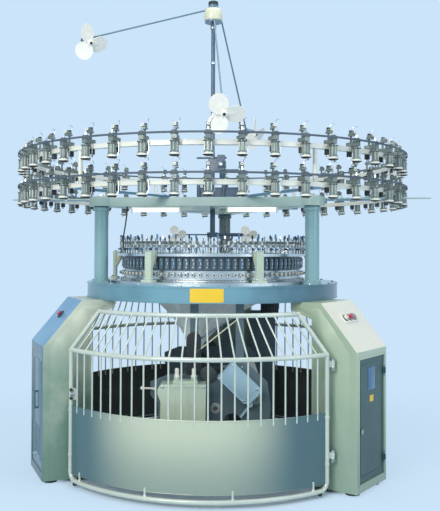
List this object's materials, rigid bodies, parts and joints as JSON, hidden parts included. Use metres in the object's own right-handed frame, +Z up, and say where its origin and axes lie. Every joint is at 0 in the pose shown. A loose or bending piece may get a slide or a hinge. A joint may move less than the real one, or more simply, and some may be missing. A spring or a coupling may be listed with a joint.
{
  "type": "circular knitting machine",
  "caption": "Large-diameter circular knitting machine on legs, with guard doors, cam head, feeder rings, take-down and a mast of dust fans",
  "frame": {"origin": "on the machine's vertical axis at floor level, the centre of the anchor bolt circle", "axes": "+Z up along the machine axis; the front guard door faces -Y; the cabinet leg is at the right front"},
  "size_m": [2.4265, 2.337, 2.81],
  "materials": {
    "leg_paint": "sage paint, semi-gloss",
    "blue_paint": "blue paint, semi-gloss",
    "bed_paint": "steel-blue paint, gloss",
    "column_paint": "grey-blue paint, gloss",
    "beam_paint": "sage paint, semi-gloss",
    "cabinet_paint": "dark slate-green paint, semi-gloss",
    "panel_paint": "sage paint, gloss",
    "guard_chrome": "bright plated tube",
    "frame_paint": "slate paint, semi-gloss",
    "cover_paint": "pale sage paint, semi-gloss",
    "guard_blue": "pale blue paint, semi-gloss",
    "cast_grey": "painted casting, matte",
    "black_iron": "dark casting, matte",
    "bright_steel": "ground steel",
    "cam_steel": "milled steel",
    "cam_dark": "dark blued finish",
    "roller_rubber": "fluted dark rubber",
    "knit_cloth": "grey single-jersey knit",
    "feeder_alloy": "die-cast alloy",
    "ring_white": "off-white paint",
    "belt_black": "toothed belt",
    "fan_white": "moulded white",
    "boom_paint": "blue-grey paint",
    "lamp_white": "white strip lamp",
    "button_red": "moulded red",
    "button_white": "moulded white",
    "button_green": "moulded green",
    "lead_black": "sheathed lead",
    "electric_grey": "moulded grey"
  },
  "bodies": {
    "machine": {"leg_left": "leg_paint", "leg_right": "leg_paint", "leg_rear": "leg_paint", "leg_covers": "blue_paint", "levelling_feet": "black_iron", "base_frame": "cast_grey", "bed_ring": "bed_paint", "bed_plate": "bright_steel", "oiler_cabinet": "blue_paint", "main_motor": "cast_grey", "guard_hinges": "bright_steel", "cabinet_electrics": "electric_grey", "cam_ring": "cam_steel", "cam_boxes": "cam_dark", "sinker_ring": "bright_steel", "yarn_guides": "bright_steel", "head_brackets": "beam_paint", "columns": "column_paint", "top_beam": "beam_paint", "ring_supports": "blue_paint", "feeder_rings": "ring_white", "lower_feeders": "feeder_alloy", "upper_feeders": "feeder_alloy", "mast": "boom_paint", "lamps": "lamp_white", "head_lead": "lead_black"},
    "rotor": {"ring_gear": "bright_steel", "needle_cylinder": "bright_steel", "takedown_frame": "frame_paint", "gearbox_cover": "cover_paint", "winding_guard": "guard_blue", "fabric_tube": "knit_cloth"},
    "drive_pinion": {"drive_pinion": "bright_steel"},
    "draw_roller_left": {"draw_roller_left": "roller_rubber"},
    "draw_roller_right": {"draw_roller_right": "roller_rubber"},
    "guide_roller": {"guide_roller_low": "bright_steel"},
    "cloth_roll": {"cloth_roll": "knit_cloth"},
    "tension_lever": {"tension_lever": "button_white"},
    "guard_front": {"guard_front_frame": "guard_chrome", "guard_front_panel": "panel_paint"},
    "front_latch": {"guard_front_latch": "bright_steel"},
    "guard_right": {"guard_right_frame": "guard_chrome", "guard_right_panel": "panel_paint"},
    "guard_left": {"guard_left_frame": "guard_chrome", "guard_left_panel": "panel_paint"},
    "cabinet_door": {"cabinet_door": "cabinet_paint"},
    "cabinet_lock": {"cabinet_lock": "bright_steel"},
    "start_button": {"start_button": "button_green"},
    "stop_button": {"stop_button": "button_red"},
    "inch_button": {"inch_button": "button_white"},
    "left_stop_button": {"left_stop_button": "button_red"},
    "lower_belt": {"lower_belt": "belt_black"},
    "upper_belt": {"upper_belt": "belt_black"},
    "fan_boom": {"fan_boom": "boom_paint"},
    "fan_left": {"fan_left": "fan_white"},
    "fan_front": {"fan_front": "fan_white"},
    "fan_right": {"fan_right": "fan_white"},
    "inner_arm": {"inner_arm": "boom_paint"},
    "inner_fan_left": {"inner_fan_left": "fan_white"},
    "inner_fan_right": {"inner_fan_right": "fan_white"}
  },
  "joints": [
    {"name": "cylinder_spin", "type": "hinge", "parent": "machine", "child": "rotor", "pos_m": [0, 0, 1], "axis": [0, 0, 1], "continuous": true},
    {"name": "pinion_spin", "type": "hinge", "parent": "machine", "child": "drive_pinion", "pos_m": [0.32393, 0.60923, 0.99], "axis": [0, 0, 1], "continuous": true},
    {"name": "draw_left_spin", "type": "hinge", "parent": "rotor", "child": "draw_roller_left", "pos_m": [-0.14392, -0.01767, 0.52], "axis": [-0.1219, 0.9925, 0], "continuous": true},
    {"name": "draw_right_spin", "type": "hinge", "parent": "rotor", "child": "draw_roller_right", "pos_m": [-0.07444, -0.00914, 0.52], "axis": [-0.1219, 0.9925, 0], "continuous": true},
    {"name": "guide_roller_spin", "type": "hinge", "parent": "rotor", "child": "guide_roller", "pos_m": [0.01985, 0.00244, 0.42], "axis": [-0.1219, 0.9925, 0], "continuous": true},
    {"name": "cloth_roll_spin", "type": "hinge", "parent": "rotor", "child": "cloth_roll", "pos_m": [0.23523, 0.02888, 0.47], "axis": [-0.1219, 0.9925, 0], "continuous": true},
    {"name": "tension_lever_turn", "type": "hinge", "parent": "rotor", "child": "tension_lever", "pos_m": [-0.3057, -0.03754, 0.528], "axis": [-0.1219, 0.9925, 0], "range_deg": [-20, 20]},
    {"name": "guard_front_swing", "type": "hinge", "parent": "machine", "child": "guard_front", "pos_m": [0.71276, -0.65054, 0.5], "axis": [0, 0, 1], "range_deg": [0, 95]},
    {"name": "guard_right_swing", "type": "hinge", "parent": "machine", "child": "guard_right", "pos_m": [0.207, 0.94254, 0.5], "axis": [0, 0, 1], "range_deg": [0, 95]},
    {"name": "guard_left_swing", "type": "hinge", "parent": "machine", "child": "guard_left", "pos_m": [-0.91976, -0.292, 0.5], "axis": [0, 0, 1], "range_deg": [0, 95]},
    {"name": "front_latch_turn", "type": "hinge", "parent": "guard_front", "child": "front_latch", "pos_m": [-0.65625, -0.6938, 0.498], "axis": [-0.6872, -0.7265, 0], "range_deg": [0, 90]},
    {"name": "cabinet_door_swing", "type": "hinge", "parent": "machine", "child": "cabinet_door", "pos_m": [1.00251, -0.4056, 0.38], "axis": [0, 0, 1], "range_deg": [0, 95]},
    {"name": "cabinet_lock_turn", "type": "hinge", "parent": "cabinet_door", "child": "cabinet_lock", "pos_m": [0.86418, -0.63519, 0.33], "axis": [0.866, -0.5, 0], "range_deg": [0, 90]},
    {"name": "start_button_press", "type": "slide", "parent": "machine", "child": "start_button", "axis": [-0.6589, 0.3804, -0.649], "range_m": [0, 0.004], "stiffness_N_per_m": 2000, "springref_m": -0.0005},
    {"name": "stop_button_press", "type": "slide", "parent": "machine", "child": "stop_button", "axis": [-0.6589, 0.3804, -0.649], "range_m": [0, 0.004], "stiffness_N_per_m": 2000, "springref_m": -0.0005},
    {"name": "inch_button_press", "type": "slide", "parent": "machine", "child": "inch_button", "axis": [-0.6589, 0.3804, -0.649], "range_m": [0, 0.004], "stiffness_N_per_m": 2000, "springref_m": -0.0005},
    {"name": "left_stop_button_press", "type": "slide", "parent": "machine", "child": "left_stop_button", "axis": [0.6589, 0.3804, -0.649], "range_m": [0, 0.004], "stiffness_N_per_m": 2000, "springref_m": -0.0005},
    {"name": "lower_belt_run", "type": "hinge", "parent": "machine", "child": "lower_belt", "pos_m": [0, 0, 1.62], "axis": [0, 0, 1], "continuous": true},
    {"name": "upper_belt_run", "type": "hinge", "parent": "machine", "child": "upper_belt", "pos_m": [0, 0, 1.81], "axis": [0, 0, 1], "continuous": true},
    {"name": "fan_boom_turn", "type": "hinge", "parent": "machine", "child": "fan_boom", "pos_m": [0, 0, 2.7], "axis": [0, 0, 1], "continuous": true},
    {"name": "fan_left_spin", "type": "hinge", "parent": "fan_boom", "child": "fan_left", "pos_m": [-0.7519, -0.11247, 2.548], "axis": [0.6781, -0.6323, -0.3746], "continuous": true},
    {"name": "fan_front_spin", "type": "hinge", "parent": "fan_boom", "child": "fan_front", "pos_m": [0.13999, -0.64777, 1.995], "axis": [0.1685, -0.8667, -0.4695], "continuous": true},
    {"name": "fan_right_spin", "type": "hinge", "parent": "fan_boom", "child": "fan_right", "pos_m": [0.23846, 0.37183, 2.04], "axis": [0.9058, -0.3477, -0.2419], "continuous": true},
    {"name": "inner_arm_turn", "type": "hinge", "parent": "machine", "child": "inner_arm", "pos_m": [0, 0, 1.45], "axis": [0, 0, 1], "continuous": true},
    {"name": "inner_fan_left_spin", "type": "hinge", "parent": "inner_arm", "child": "inner_fan_left", "pos_m": [-0.21296, -0.05436, 1.364], "axis": [0.1219, -0.9925, 0], "continuous": true},
    {"name": "inner_fan_right_spin", "type": "hinge", "parent": "inner_arm", "child": "inner_fan_right", "pos_m": [0.21979, -0.00122, 1.364], "axis": [0.1219, -0.9925, 0], "continuous": true}
  ],
  "couplings": [
    {"joint": "pinion_spin", "follows": "cylinder_spin", "ratio": -14.333},
    {"joint": "draw_left_spin", "follows": "cylinder_spin", "ratio": 0.4},
    {"joint": "draw_right_spin", "follows": "cylinder_spin", "ratio": -0.4},
    {"joint": "guide_roller_spin", "follows": "cylinder_spin", "ratio": -0.56667},
    {"joint": "cloth_roll_spin", "follows": "cylinder_spin", "ratio": -0.22667},
    {"joint": "lower_belt_run", "follows": "cylinder_spin", "ratio": 1},
    {"joint": "upper_belt_run", "follows": "cylinder_spin", "ratio": 1}
  ]
}
